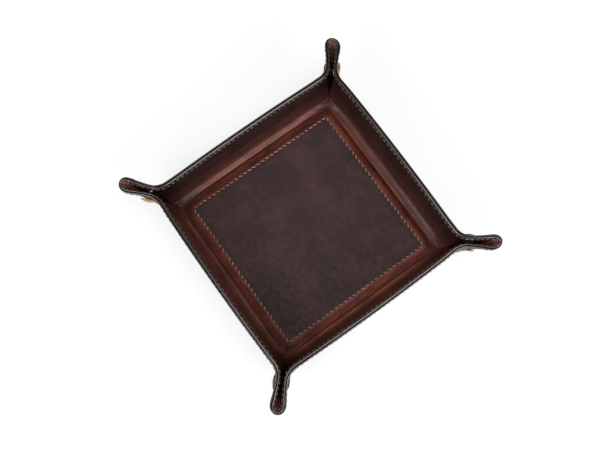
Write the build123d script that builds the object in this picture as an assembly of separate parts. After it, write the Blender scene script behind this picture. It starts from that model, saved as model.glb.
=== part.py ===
"""A square leather valet tray with four snapped corner ears.

Two leather layers are stitched together at the rim. The floor is stiffened by a board
between them. Each corner of the flat sheet is pinched outwards into an ear, and a snap
holds its two flaps together. Undone, the tray opens flat.

The origin is the middle of the underside, +Z is up, and +X points at the right wall.
"""
from build123d import *
import os
from math import asin, atan, atan2, cos, pi, radians, sin, sqrt, tan

os.makedirs("parts", exist_ok=True)

# Driving sizes of the sheet and the floor, in millimetres and degrees
crease_half = 71.0            # centre to the crease under each wall, on the underside
wall_slant = 40.0             # crease to rim, along a wall
wall_lean = 16.3              # of each wall from upright, outwards
layer_thickness = 1.4         # of each of the two leathers
sheet_corner_radius = 9.0     # of the flat sheet's corners
board_thickness = 2.0
panel_margin = 7.8            # crease to the edge of the raised panel
border_slope_run = 4.6        # width of the slope round the raised panel
board_clearance = 0.1

# Driving sizes of an ear, its two angles in degrees
neck_half_width = 4.715       # of an ear's neck at the rim, over the outer leather
neck_bend = 48.4              # of a flap from its wall
ear_axis_rise = 45.5          # of the ear fold's axis above level
ear_bottom_relief = 4.0       # how far above the crease corner a flap starts
ear_top_overrun = 6.0         # of the rough ear fold past its trimmed rim
fold_kerf = 0.2               # between pieces that turn against each other

# Driving sizes of the stitching
stitch_pitch = 4.2
stitch_length = 3.1
stitch_width = 0.75
stitch_height = 0.4
rim_stitch_inset = 2.7        # rim to the seam
panel_stitch_inset = 1.0      # edge of the raised panel to the seam
seam_end_margin = 1.2

# Driving sizes of a snap
snap_below_rim = 10.0         # rim to the snap's centre
snap_past_neck = 7.6          # neck to the snap's centre, along the seam
cap_radius = 6.4
cap_edge_height = 0.6
cap_dome_height = 1.5
cap_shank_radius = 1.6
socket_radius = 4.3
socket_height = 1.5
socket_floor = 0.4
socket_bore_radius = 2.75
socket_seat_depth = 0.6       # pressed into the lining by this much
stud_flange_radius = 3.4
stud_flange_height = 0.4
stud_knob_radius = 1.9
stud_knob_height = 1.3
stud_bore_radius = 1.15
post_radius = 4.6
post_edge_height = 0.7
post_shank_radius = 1.0
snap_clearance = 0.15         # round each shank, and beside each seat

lean = radians(wall_lean)
neck_turn = atan(sin(lean) - sqrt(2) * neck_half_width / wall_slant)
bend = radians(neck_bend)
axis_rise = radians(ear_axis_rise)
sheet_thickness = layer_thickness + layer_thickness
panel_half = crease_half - panel_margin
half_kerf = fold_kerf / 2

# Directions at the back right corner. The right wall's own frame comes first.
corner = Vector(crease_half, crease_half, 0)
diagonal_out = Vector(1, 1, 0).normalized()
diagonal_side = Vector(1, -1, 0).normalized()
wall_out = Vector(cos(lean), 0, -sin(lean))
wall_up = Vector(sin(lean), 0, cos(lean))
wall_along = Vector(0, 1, 0)
neck_line = wall_up * cos(neck_turn) + wall_along * sin(neck_turn)
across_neck = wall_along * cos(neck_turn) - wall_up * sin(neck_turn)

# The flap leaves its wall at the neck line and turns outwards by the neck bend.
flap_across = across_neck * cos(bend) + wall_out * sin(bend)
flap_out = wall_out * cos(bend) - across_neck * sin(bend)
flap_up = neck_line * cos(neck_turn) - flap_across * sin(neck_turn)
flap_along = neck_line * sin(neck_turn) + flap_across * cos(neck_turn)

# The ear fold is a cone from the crease corner, which both flaps touch.
ear_axis = diagonal_out * cos(axis_rise) + Vector(0, 0, 1) * sin(axis_rise)
ear_inwards = Vector(0, 0, 1) * cos(axis_rise) - diagonal_out * sin(axis_rise)
cone_sine = -ear_axis.dot(flap_out)
cone_angle = asin(cone_sine)
touch_line = (ear_axis + flap_out * cone_sine).normalized()
ear_spine = ear_axis * cos(cone_angle) - ear_inwards * sin(cone_angle)
touch_flat_angle = atan2(touch_line.dot(flap_along), touch_line.dot(flap_up))
touch_reach = wall_slant / cos(touch_flat_angle)
spine_reach = (wall_slant - sheet_corner_radius) * sqrt(2) + sheet_corner_radius


def mirrored(direction):
    """The same direction on the other flap of the back right corner."""
    return Vector(direction.Y, direction.X, direction.Z)


def trim(body, cuts):
    """Cut a body by planes, each a point and the direction that is cut away."""
    for point, away in cuts:
        body = body.split(Plane(origin=point, z_dir=away), keep=Keep.BOTTOM)
    return body


def block(reach):
    """A rough block round a corner or the whole tray, to be cut by planes."""
    return Solid.make_box(reach, reach, reach, Plane(origin=(-reach / 2, -reach / 2, -reach / 2)))


def between_layers(point, outwards, first, last):
    """Two cuts that keep the leather from depth first to depth last below a face."""
    return [(point - outwards * first, outwards), (point - outwards * last, outwards * -1)]


rough_reach = (crease_half + wall_slant) * 2 * sqrt(2)
tray_middle = Vector(0, 0, 0)
crease_point = Vector(crease_half, 0, 0)

# The fold between floor and wall is mitred on the underside's crease line.
floor_out = Vector(0, 0, -1)
mitre_away = (wall_out - floor_out).normalized()
mitre_at_neck = (flap_across + across_neck).normalized()

neck_cut_wall = (corner - mitre_at_neck * half_kerf, mitre_at_neck)
neck_cut_flap = (corner + mitre_at_neck * half_kerf, mitre_at_neck * -1)
middle_cut = (corner + diagonal_side * half_kerf, diagonal_side * -1)

# Opened flat, a flap has moved along by what its neck mitre opens, and still keeps to its side.
neck_opening = 2 * sheet_thickness * tan(bend / 2)
across_middle = (flap_along - flap_up).normalized()
flat_middle_cut = (corner - flap_across * neck_opening - across_middle * fold_kerf, across_middle)
ear_end_away = touch_line.cross(flap_out).normalized()
if ear_end_away.dot(diagonal_out) < 0:
    ear_end_away = ear_end_away * -1


def flipped(cut):
    """The same cut at the other end of the right wall."""
    point, away = cut
    return (Vector(point.X, -point.Y, point.Z), Vector(away.X, -away.Y, away.Z))


def wall_layer(first, last):
    """The right wall in one leather, from depth first to depth last."""
    cuts = between_layers(crease_point, wall_out, first, last)
    cuts.append((crease_point + mitre_away * half_kerf, mitre_away * -1))
    cuts.append((crease_point + wall_up * wall_slant, wall_up))
    for cut in (neck_cut_wall, middle_cut):
        cuts.append(cut)
        cuts.append(flipped(cut))
    return trim(block(rough_reach), cuts)


def flap_layer(first, last):
    """The back right corner's flap on the right wall, in one leather."""
    cuts = between_layers(corner, flap_out, first, last)
    cuts.append(neck_cut_flap)
    cuts.append(middle_cut)
    cuts.append(flat_middle_cut)
    cuts.append((corner + flap_up * wall_slant, flap_up))
    cuts.append((corner - ear_end_away * half_kerf, ear_end_away))
    cuts.append((corner + ear_axis * ear_bottom_relief, ear_axis * -1))
    return trim(block(rough_reach), cuts)


def ear_fold_layer(first, last):
    """One leather of the bend that joins the back right corner's two flaps."""
    top = spine_reach + ear_top_overrun

    def solid_cone(depth):
        apex = depth / cone_sine
        foot = max(apex, ear_bottom_relief)
        place = Plane(origin=corner + ear_axis * foot, z_dir=ear_axis)
        foot_radius = (foot - apex) * tan(cone_angle)
        return Solid.make_cone(foot_radius, (top - apex) * tan(cone_angle), top - foot, place)

    body = solid_cone(first) - solid_cone(last)
    touch_point = corner + touch_line * touch_reach
    other_touch_point = corner + mirrored(touch_line) * touch_reach
    spine_point = corner + ear_spine * spine_reach
    rim_away = (other_touch_point - touch_point).cross(spine_point - touch_point).normalized()
    if rim_away.dot(ear_axis) < 0:
        rim_away = rim_away * -1
    seam_gap = ear_end_away * half_kerf
    cuts = [
        (spine_point, rim_away),
        (corner + seam_gap, ear_end_away * -1),
        (corner + mirrored(seam_gap), mirrored(ear_end_away) * -1),
    ]
    return trim(body, cuts)


def square_plate(low, high, low_half, high_half):
    """A square plate with sloping sides, between two heights."""
    low_face = Plane(origin=(0, 0, low)) * Rectangle(low_half * 2, low_half * 2)
    high_face = Plane(origin=(0, 0, high)) * Rectangle(high_half * 2, high_half * 2)
    return loft([low_face.face(), high_face.face()], ruled=True)


def floor_layer(first, last):
    """The floor in one leather, mitred to the four walls."""
    body = trim(block(rough_reach), between_layers(tray_middle, floor_out, first, last))
    for quarter in range(4):
        turn = Rotation(0, 0, quarter * 90)
        point = (turn * Pos(crease_point - mitre_away * half_kerf)).position
        away = (turn * Pos(mitre_away)).position
        body = trim(body, [(point, away)])
    return body


# The lining rises over the board, with a slope all round.
slope_angle = atan2(board_thickness, border_slope_run)
slope_inset = layer_thickness * tan(slope_angle / 2)
board_low = layer_thickness
board_high = board_low + board_thickness
floor_top = sheet_thickness + board_thickness
slope_foot_half = panel_half + border_slope_run


def board_shape(clearance):
    """The space under the raised lining, or the board in it with a clearance above and below."""
    side_clearance = clearance + clearance / tan(slope_angle)
    return square_plate(
        board_low + clearance / 2,
        board_high - clearance / 2,
        slope_foot_half - slope_inset - side_clearance,
        panel_half - slope_inset - side_clearance,
    )


def stitch_row(start, end, face_out):
    """Stitches that lie on a face, evenly between two points."""
    run = end - start
    count = max(int(run.length / stitch_pitch), 1)
    step = run / count
    row = []
    for index in range(count):
        middle = start + step * (index + 0.5)
        place = Plane(origin=middle, x_dir=run.normalized(), z_dir=face_out)
        low_middle = (Align.CENTER, Align.CENTER, Align.MIN)
        row.append((place * Box(stitch_length, stitch_width, stitch_height, align=low_middle)).solid())
    return row


def both_faces(start, end, outwards):
    """A seam's stitches on the outer leather and on the lining."""
    depth = outwards * sheet_thickness
    return stitch_row(start, end, outwards) + stitch_row(start - depth, end - depth, outwards * -1)


def panel_thread():
    """The square seam on the raised panel."""
    seam_half = panel_half - panel_stitch_inset
    row = stitch_row(
        Vector(seam_half, -seam_half, floor_top),
        Vector(seam_half, seam_half, floor_top),
        Vector(0, 0, 1),
    )
    return [Rotation(0, 0, quarter * 90) * one for quarter in range(4) for one in row]


seam_height = wall_slant - rim_stitch_inset


def wall_thread():
    """The right wall's part of the rim seam, clear of the mitre at each neck."""
    half_run = crease_half + seam_height * tan(neck_turn) - sheet_thickness - seam_end_margin
    middle = crease_point + wall_up * seam_height
    return both_faces(middle - wall_along * half_run, middle + wall_along * half_run, wall_out)


def flap_thread():
    """A flap's part of the rim seam, from the neck to the ear fold."""
    first = seam_height * tan(neck_turn) + seam_end_margin
    last = seam_height * tan(touch_flat_angle) - seam_end_margin
    line = corner + flap_up * seam_height
    return both_faces(line + flap_along * first, line + flap_along * last, flap_out)


# The snap's centre on the outer leather, and the planes that its pieces sit on.
snap_height = wall_slant - snap_below_rim
snap_run = snap_height * tan(neck_turn) + snap_past_neck
snap_point = corner + flap_up * snap_height + flap_along * snap_run
outer_seat = Plane(origin=snap_point, x_dir=flap_along, z_dir=flap_out)
seat_depth = sheet_thickness - socket_seat_depth
lining_seat = Plane(origin=snap_point - flap_out * seat_depth, x_dir=flap_along, z_dir=flap_out * -1)


def disc(place, low, high, radius):
    """A round plate on a seat, between two heights above it."""
    upright = (Align.CENTER, Align.CENTER, Align.MIN)
    return (place * Pos(0, 0, low) * Cylinder(radius, high - low, align=upright)).solid()


def shank_hole(radius):
    """The hole through both leathers for a shank."""
    return disc(outer_seat, -sheet_thickness - snap_clearance, snap_clearance, radius + snap_clearance)


def seat_hole(radius):
    """The shallow seat that a snap's inner piece is pressed into."""
    return disc(lining_seat, 0, sheet_thickness, radius + snap_clearance)


def snap_cap():
    """The domed brass cap with its shank."""
    edge = disc(outer_seat, 0, cap_edge_height, cap_radius)
    ball_radius = (cap_radius ** 2 + cap_dome_height ** 2) / (2 * cap_dome_height)
    ball_centre = outer_seat * Pos(0, 0, cap_edge_height + cap_dome_height - ball_radius)
    above_edge = disc(outer_seat, cap_edge_height, cap_edge_height + cap_dome_height, cap_radius)
    dome = (ball_centre * Sphere(ball_radius)).solid() & above_edge
    shank_end = -seat_depth - socket_floor - snap_clearance
    shank = disc(outer_seat, shank_end, 0, cap_shank_radius)
    return (edge + dome + shank).solid()


def snap_socket():
    """The socket that the cap's shank holds on the lining."""
    body = disc(lining_seat, 0, socket_height, socket_radius)
    bore = disc(lining_seat, socket_floor, socket_height + snap_clearance, socket_bore_radius)
    hole = disc(lining_seat, -snap_clearance, socket_floor, cap_shank_radius + snap_clearance)
    return (body - bore - hole).solid()


def snap_stud():
    """The stud that clicks into the socket, on the facing flap."""
    flange = disc(lining_seat, 0, stud_flange_height, stud_flange_radius)
    knob = disc(lining_seat, stud_flange_height, stud_flange_height + stud_knob_height, stud_knob_radius)
    bore = disc(lining_seat, -snap_clearance, stud_flange_height + stud_knob_height / 2, stud_bore_radius)
    return (flange + knob - bore).solid()


def snap_post():
    """The flat-headed post that holds the stud through the leather."""
    head = disc(outer_seat, 0, post_edge_height, post_radius)
    shank = disc(outer_seat, -seat_depth - stud_flange_height, 0, post_shank_radius)
    return (head + shank).solid()


def write(name, bodies):
    """One file for each named piece, or group of like pieces."""
    shape = bodies[0] if len(bodies) == 1 else Compound(children=list(bodies))
    export_step(shape, "parts/" + name + ".step")


def solids_of(shape):
    """The separate solids of a shape, largest first."""
    return sorted(shape.solids(), key=lambda one: -one.volume)


# Floor
outer_depths = (0, layer_thickness)
lining_depths = (layer_thickness, sheet_thickness)
lining_rise = square_plate(sheet_thickness, floor_top, slope_foot_half, panel_half)
floor_lining = floor_layer(*lining_depths) + lining_rise - board_shape(0)
write("floor_outer", solids_of(floor_layer(*outer_depths)))
write("floor_lining", solids_of(floor_lining))
write("base_board", solids_of(board_shape(board_clearance)))
write("floor_thread", panel_thread())

# Walls, each a quarter turn from the last
wall_pieces = {
    "outer": solids_of(wall_layer(*outer_depths)),
    "lining": solids_of(wall_layer(*lining_depths)),
    "thread": wall_thread(),
}
for quarter, wall_name in enumerate(("right", "back", "left", "front")):
    turn = Rotation(0, 0, quarter * 90)
    for kind, pieces in wall_pieces.items():
        write(wall_name + "_wall_" + kind, [turn * one for one in pieces])

# Ears. The cap's flap hangs on the right or left wall, the post's flap on the back or front.
flap_outer = flap_layer(*outer_depths)
flap_lining = flap_layer(*lining_depths)
cap_side = {
    "cap_flap_outer": solids_of(flap_outer - shank_hole(cap_shank_radius)),
    "cap_flap_lining": solids_of(flap_lining - shank_hole(cap_shank_radius) - seat_hole(socket_radius)),
    "cap_flap_thread": flap_thread(),
    "snap_cap": [snap_cap()],
    "snap_socket": [snap_socket()],
}
post_side = {
    "post_flap_outer": solids_of(flap_outer - shank_hole(post_shank_radius)),
    "post_flap_lining": solids_of(
        flap_lining - shank_hole(post_shank_radius) - seat_hole(stud_flange_radius)
    ),
    "post_flap_thread": flap_thread(),
    "snap_stud": [snap_stud()],
    "snap_post": [snap_post()],
}
ear_pieces = dict(cap_side)
across_diagonal = Plane(origin=(0, 0, 0), z_dir=diagonal_side)
for kind, pieces in post_side.items():
    ear_pieces[kind] = [one.mirror(across_diagonal) for one in pieces]
ear_pieces["ear_fold"] = solids_of(ear_fold_layer(*outer_depths)) + solids_of(ear_fold_layer(*lining_depths))

for corner_name, flips in (
    ("back_right", ()),
    ("back_left", (Plane.YZ,)),
    ("front_right", (Plane.XZ,)),
    ("front_left", (Plane.YZ, Plane.XZ)),
):
    for kind, pieces in ear_pieces.items():
        placed = pieces
        for flip in flips:
            placed = [one.mirror(flip) for one in placed]
        write(corner_name + "_" + kind, placed)

wrap = 2 * (pi / 2 - atan2(-flap_out.dot(ear_inwards), flap_out.dot(diagonal_side)))
flat_sum = touch_flat_angle + wrap / 2 * cone_sine
print("ear fold radius at the rim", round(touch_reach * cone_sine, 2))
print("flat angle from the wall's upright to the diagonal", round(flat_sum * 180 / pi, 2))
print("rim half", round(crease_half + wall_slant * sin(lean), 2), "height", round(wall_slant * cos(lean), 2))
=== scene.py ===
import math
import bpy
import numpy as np
from mathutils import Matrix, Vector


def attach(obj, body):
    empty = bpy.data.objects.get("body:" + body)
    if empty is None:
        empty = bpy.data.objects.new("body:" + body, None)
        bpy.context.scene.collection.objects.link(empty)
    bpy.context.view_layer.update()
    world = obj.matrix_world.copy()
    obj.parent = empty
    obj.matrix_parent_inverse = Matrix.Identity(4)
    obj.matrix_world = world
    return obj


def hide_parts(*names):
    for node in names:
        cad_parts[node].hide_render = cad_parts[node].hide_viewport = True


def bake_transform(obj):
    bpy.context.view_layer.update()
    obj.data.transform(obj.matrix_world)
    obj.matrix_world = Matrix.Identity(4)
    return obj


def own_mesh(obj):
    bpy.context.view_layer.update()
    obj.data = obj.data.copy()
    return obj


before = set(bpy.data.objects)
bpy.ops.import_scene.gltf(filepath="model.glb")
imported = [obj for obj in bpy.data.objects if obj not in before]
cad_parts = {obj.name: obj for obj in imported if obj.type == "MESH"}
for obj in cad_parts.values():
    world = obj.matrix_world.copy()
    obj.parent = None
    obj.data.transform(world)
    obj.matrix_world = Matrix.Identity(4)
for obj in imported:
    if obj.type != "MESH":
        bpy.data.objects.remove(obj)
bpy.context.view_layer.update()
print("frame loaded")

mm = 0.001

# The folded sheet. Lengths are on the flat outer leather, angles in degrees
sheet = {
    "creaseHalf": 71.0 * mm,       # centre to the crease under each wall
    "slant": 40.0 * mm,            # crease to rim
    "lean": 16.3,                  # of a wall from upright
    "neckHalfWidth": 4.715 * mm,   # of an ear's neck at the rim
    "neckBend": 48.4,              # of a flap from its wall
    "axisRise": 45.5,              # of an ear fold's axis
    "cornerRadius": 9.0 * mm,
    "layer": 1.4 * mm,
    "wallBow": 1.3 * mm,           # how far a wall's rim bellies outwards
    "bowGrowth": 1.3,              # power by which it grows with height
    "bowEnd": 1.1,                 # share of the height at which it stops growing
}
# The soft bend between floor and wall: a tooled groove, then a wide cove up to the steep wall
cove = {
    "start": 69.8 * mm,            # centre to the groove
    "kink": 11.0,                  # slope right after the groove, degrees
    "radius": 10.5 * mm,
    "steepest": 89.0,              # slope from which its end is searched for, degrees
    "halvings": 60,                # of that search
    "cornerStart": (-15.0 * mm, -3.0 * mm),    # from a wall's plane, where the next one feels its cove
    "cornerEnd": (3.0 * mm, 14.0 * mm),
}
# Both were shaped by hand, so on each wall they wander from their usual place
wander = {
    "groove": {"right": -1.2 * mm, "back": 0.6 * mm, "left": 0.0, "front": 0.0},
    "cove": {"right": 1.6 * mm, "back": 0.0, "left": 0.0, "front": 0.0},
    "starts": (63.4 * mm, 66.9 * mm),
    "ends": (76.0 * mm, 100.0 * mm),
    "corner": (56.0 * mm, 70.0 * mm),
}
softness = {
    "crease": 1.15 * mm,           # spread of the leather's bend
    "neck": 3.2 * mm,              # added at an ear's neck
    "neckReach": 8.5 * mm,
    "neckHeight": (-12.0 * mm, 10.0 * mm),
    "earStart": 6 * mm,            # past the neck, where the wall has become the ear
    "bellReach": 2.4,              # spreads to each side that a place is averaged over
    "bellPlaces": 9,
    "measureStep": 0.25 * mm,      # to the places beside it that give its normal
}
# An ear is pinched at its snap and swells towards its tip. Reaches are from the tray's middle
earShape = {
    "waist": 0.45 * mm,
    "waistReach": 117 * mm,
    "waistSpan": 8 * mm,
    "bulb": 0.7 * mm,
    "bulbReach": 134 * mm,
    "bulbSpan": 7 * mm,
    "skinShare": 2.5 * mm,         # how near the middle plane the pinch fades
    "height": (14 * mm, 32 * mm),
    "spread": 1.9 * mm,            # that the snap holds the leather apart below the rim
    "spreadReach": 112.5 * mm,
    "spreadSpan": 9.5 * mm,
    "spreadFoot": (8 * mm, 20 * mm),
    "spreadTop": (28 * mm, 38 * mm),
}
# How far each ear of the worn tray leans at its tip, and to which side
earLean = {
    (1, 1): (-3.8 * mm, (1, -1)),
    (-1, 1): (4.2 * mm, (1, 1)),
    (1, -1): (5.6 * mm, (1, 1)),
    (-1, -1): (0.4 * mm, (1, -1)),
}
leanGrowth = {"power": 1.25, "most": 1.3}    # along the ear, and the share at which it stops
# Where the inner faces of an ear's halves meet, and how far in from the crease they may
meeting = {"gap": 0.04 * mm, "reach": 12 * mm}
cornerNames = {(1, 1): "back_right", (-1, 1): "back_left", (1, -1): "front_right", (-1, -1): "front_left"}
panel = {
    "edgeHalf": 63.2 * mm,         # centre to the edge of the raised panel
    "slopeRun": 4.6 * mm,
    "rise": 2.0 * mm,
    "softShare": 0.25,             # of the slope's shape that is rounded
    "seamHalf": 62.2 * mm,
}
tooling = {
    "groove": 69.8 * mm,
    "grooveWidth": 0.95 * mm,
    "depth": 0.27 * mm,
    "ridge": 72.1 * mm,
    "ridgeWidth": 1.1 * mm,
    "height": 0.26 * mm,
    "corner": (50 * mm, 65 * mm),  # where both fade towards a corner, and by which share
    "cornerLoss": 0.95,
}
rim = {
    "seamInset": 2.7 * mm,
    "rounding": 0.95 * mm,         # of the painted edge
    "glueAndShadeFrom": 0.11 * mm,         # where the dark glue line between the leathers, partly painted shade of their gap, starts
    "edgeThin": 0.16,              # half thickness share left at the very edge
    "padding": 0.5 * mm,           # that thickens the lining towards the rim
    "paddingHeight": (6 * mm, 16 * mm),
    "bunch": 1.7 * mm,             # of leather at the foot of each neck
    "bunchHeight": (1 * mm, 5 * mm, 16 * mm, 27 * mm),
    "bunchWidth": 6.5 * mm,
    "paintReach": 0.55 * mm,       # of the edge paint over each face
}
seamChannel = {
    "width": 0.8 * mm,
    "floorLining": 0.22 * mm,
    "floorOuter": 0.68 * mm,       # deep enough to keep the thread off the table
    "rim": 0.16 * mm,
}

crease = sheet["creaseHalf"]
sheetHalf = crease + sheet["slant"]
skin = 2 * sheet["layer"]
lean = math.radians(sheet["lean"])
bend = math.radians(sheet["neckBend"])
neckTurn = math.atan(math.sin(lean) - math.sqrt(2) * sheet["neckHalfWidth"] / sheet["slant"])


def unit(v):
    return np.array(v, float) / np.linalg.norm(v)


cornerPoint = np.array([crease, crease, 0.0])
diagonal = unit([1, 1, 0])
wallOut = np.array([math.cos(lean), 0, -math.sin(lean)])
wallUp = np.array([math.sin(lean), 0, math.cos(lean)])
wallAlong = np.array([0.0, 1.0, 0.0])
neckLine = wallUp * math.cos(neckTurn) + wallAlong * math.sin(neckTurn)
acrossNeck = wallAlong * math.cos(neckTurn) - wallUp * math.sin(neckTurn)
flapAcross = acrossNeck * math.cos(bend) + wallOut * math.sin(bend)
flapOut = wallOut * math.cos(bend) - acrossNeck * math.sin(bend)
rise = math.radians(sheet["axisRise"])
earAxis = diagonal * math.cos(rise) + np.array([0, 0, 1.0]) * math.sin(rise)
coneSine = -float(earAxis @ flapOut)
coneAngle = math.asin(coneSine)
touchLine = unit(earAxis + flapOut * coneSine)
touchAngle = neckTurn + math.acos(float(np.clip(touchLine @ neckLine, -1, 1)))
coneFirst = unit(touchLine - earAxis * (touchLine @ earAxis))
coneSecond = np.cross(earAxis, coneFirst)
if coneSecond @ diagonal < 0:
    coneSecond = -coneSecond


def smooth(t):
    t = np.clip(t, 0, 1)
    return t * t * (3 - 2 * t)


def ramp(value, first, last):
    # 0 at the first place and 1 at the last, which may lie before it
    return smooth((value - first) / (last - first))


def hump(value, first, last, start, end):
    # 0 up to the first place, 1 from the last to the start, and 0 from the end on
    return ramp(value, first, last) * ramp(value, end, start)


def bell(value, middle, width):
    return np.exp(-((value - middle) / width) ** 2)


def squareTo(px, py):
    # how far a place on the flat sheet lies from the middle, square to its wall and along it
    return np.maximum(np.abs(px), np.abs(py)), np.minimum(np.abs(px), np.abs(py))


def pastNeck(px, py):
    # how far it lies past the line of its ear's neck
    reach, beside = squareTo(px, py)
    return beside - crease - np.maximum(reach - crease, 0) * math.tan(neckTurn)


def byWall(px, py, values):
    # the value of the wall that it is level with
    upright = np.where(py > 0, values["back"], values["front"])
    level = np.where(px > 0, values["right"], values["left"])
    return np.where(np.abs(py) > np.abs(px), upright, level)


def coveEnd():
    # slope at which the cove turns into the straight wall, so that the rim stays in place
    first = math.radians(cove["kink"])
    rimX = crease + sheet["slant"] * math.sin(lean)
    rimZ = sheet["slant"] * math.cos(lean)
    low, high = first, math.radians(cove["steepest"])
    for _ in range(cove["halvings"]):
        slope = (low + high) / 2
        straight = (rimZ - cove["radius"] * (math.cos(first) - math.cos(slope))) / math.sin(slope)
        arcRun = cove["radius"] * (math.sin(slope) - math.sin(first))
        reach = cove["start"] + arcRun + straight * math.cos(slope)
        low, high = (slope, high) if reach > rimX else (low, slope)
    return slope, straight


coveSlope, coveStraight = coveEnd()
coveArc = cove["radius"] * (coveSlope - math.radians(cove["kink"]))


def coveProfile(px):
    # distance from the centre and height of the outer face over a flat distance
    first = math.radians(cove["kink"])
    s = (px - cove["start"]) * (coveArc + coveStraight) / (sheetHalf - cove["start"])
    slope = first + np.clip(s, 0, coveArc) / cove["radius"]
    beyond = np.maximum(s - coveArc, 0)
    x = cove["start"] + cove["radius"] * (np.sin(slope) - math.sin(first)) + beyond * math.cos(coveSlope)
    z = cove["radius"] * (math.cos(first) - np.cos(slope)) + beyond * math.sin(coveSlope)
    return np.where(s < 0, px, x), np.where(s < 0, 0, z)


def coveShift(q):
    # how the cove moves a place of the sharp fold outwards and upwards, by flat distance past the crease
    x, z = coveProfile(crease + q)
    past = np.maximum(q, 0)
    return x - crease - np.minimum(q, 0) - past * math.sin(lean), z - past * math.cos(lean)


def nearPlane(t):
    # 1 at a wall's plane, fading along the next wall and out along the ear
    return hump(t, *cove["cornerStart"], *cove["cornerEnd"])


def wallAside(px, py, what):
    # how far the groove or the cove lies from its usual place, level with a place on the flat sheet
    reach, beside = squareTo(px, py)
    near, far = wander["corner"]
    share = hump(reach, *wander["starts"], *wander["ends"])
    return byWall(px, py, wander[what]) * share * ramp(beside, far, near)


def foldSharp(px, py, aside):
    # outer face of the sharply folded sheet, in one octant: px >= py.
    # Both may be negative only on the floor
    px = px - aside
    u = (py - crease)[:, None]
    v = (px - crease)[:, None]
    theta = np.arctan2(u, v)
    rho = np.hypot(u, v)
    floor = np.concatenate([px[:, None], py[:, None], np.zeros_like(u)], 1)
    along = np.clip(py[:, None] / crease, -1, 1)
    grown = np.clip(v / sheet["slant"], 0, sheet["bowEnd"]) ** sheet["bowGrowth"]
    bow = sheet["wallBow"] * grown * (1 - along ** 2)
    wall = np.where(v < 0, floor, cornerPoint + wallAlong * u + wallUp * v)
    flap = cornerPoint + rho * (np.cos(theta - neckTurn) * neckLine + np.sin(theta - neckTurn) * flapAcross)
    psi = (theta - touchAngle) / coneSine
    ring = np.cos(psi) * coneFirst + np.sin(psi) * coneSecond
    cone = cornerPoint + rho * (earAxis * math.cos(coneAngle) + ring * coneSine)
    out = np.where((v >= 0) & (theta > neckTurn), flap, wall)
    out = np.where((v >= 0) & (theta > touchAngle), cone, out)
    # the cove pushes the wall outwards, and the corner along with it
    onFloor = v[:, 0] < 0
    height = np.maximum(out[:, 2], 0)
    outwards, upwards = coveShift(np.where(onFloor, v[:, 0], height / math.cos(lean)))
    plane = crease + height * math.tan(lean)
    shareX = nearPlane(np.where(onFloor, 0, out[:, 0] - plane))
    shareY = nearPlane(out[:, 1] - plane)
    sidewards = np.where(onFloor, coveShift(u[:, 0])[0], outwards)
    move = np.stack([outwards * shareX, sidewards * shareY, upwards * (1 - (1 - shareX) * (1 - shareY))], 1)
    out = out + move + wallOut * np.where(theta > neckTurn, 0, bow)
    out[:, 0] += aside
    return out


def foldAny(px, py):
    # the same for the whole sheet, by its mirror planes
    sx = np.where(px < 0, -1.0, 1.0)
    sy = np.where(py < 0, -1.0, 1.0)
    ax = np.abs(px)
    ay = np.abs(py)
    swap = ay > ax
    p = foldSharp(np.where(swap, ay, ax), np.where(swap, ax, ay), wallAside(px, py, "cove"))
    p = np.where(swap[:, None], p[:, [1, 0, 2]], p)
    p[:, 0] *= sx
    p[:, 1] *= sy
    return p


# A fixed bell of sample places round a point, which rounds every fold
bellSteps = np.linspace(-softness["bellReach"], softness["bellReach"], softness["bellPlaces"])
bellWeights = np.exp(-bellSteps ** 2 / 2)
bellWeights /= bellWeights.sum()


def bellSpread(px, py):
    # the leather bends sharply at a crease and gently at an ear's neck
    height = squareTo(px, py)[0] - crease
    nearNeck = bell(pastNeck(px, py), 0, softness["neckReach"])
    return softness["crease"] + softness["neck"] * nearNeck * ramp(height, *softness["neckHeight"])


def foldSoft(px, py):
    total = np.zeros((len(px), 3))
    spread = bellSpread(px, py)
    for a, wa in zip(bellSteps, bellWeights):
        for b, wb in zip(bellSteps, bellWeights):
            total += wa * wb * foldAny(px + a * spread, py + b * spread)
    return total


def bentFrame(px, py):
    # place and inward normal of the outer face
    step = softness["measureStep"]
    place = foldSoft(px, py)
    dx = foldSoft(px + step, py) - foldSoft(px - step, py)
    dy = foldSoft(px, py + step) - foldSoft(px, py - step)
    normal = np.cross(dx, dy)
    normal /= np.linalg.norm(normal, axis=1)[:, None]
    return place, normal


# Places of the snaps on the flat sheet
snap = {
    "belowRim": 10.0 * mm,
    "pastNeck": 7.6 * mm,
    "hold": (7.0 * mm, 10.5 * mm),    # reach round the shank to which the leather is held flat
}


def snapFlat(corner, which):
    up = sheet["slant"] - snap["belowRim"]
    out, beside = crease + up, crease + up * math.tan(neckTurn) + snap["pastNeck"]
    x, y = (out, beside) if which == "cap" else (beside, out)
    return x * corner[0], y * corner[1]


snapSpots = np.array([snapFlat(corner, which) for corner in cornerNames for which in ("cap", "post")])
snapCentres, snapFacings = bentFrame(snapSpots[:, 0], snapSpots[:, 1])


def softFrame(px, py):
    # the same, held flat round each snap
    place, normal = bentFrame(px, py)
    near, far = snap["hold"]
    for (x, y), centre, facing in zip(snapSpots, snapCentres, snapFacings):
        hold = ramp(np.hypot(px - x, py - y), far, near)[:, None]
        place = place - facing * ((place - centre) @ facing)[:, None] * hold
        normal = normal * (1 - hold) + facing * hold
    return place, normal / np.linalg.norm(normal, axis=1)[:, None]


def panelLift(px, py):
    # how far the board lifts the lining
    foot = panel["edgeHalf"] + panel["slopeRun"]
    t = np.clip((foot - squareTo(px, py)[0]) / panel["slopeRun"], 0, 1)
    return panel["rise"] * ((1 - panel["softShare"]) * t + panel["softShare"] * smooth(t))


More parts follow.
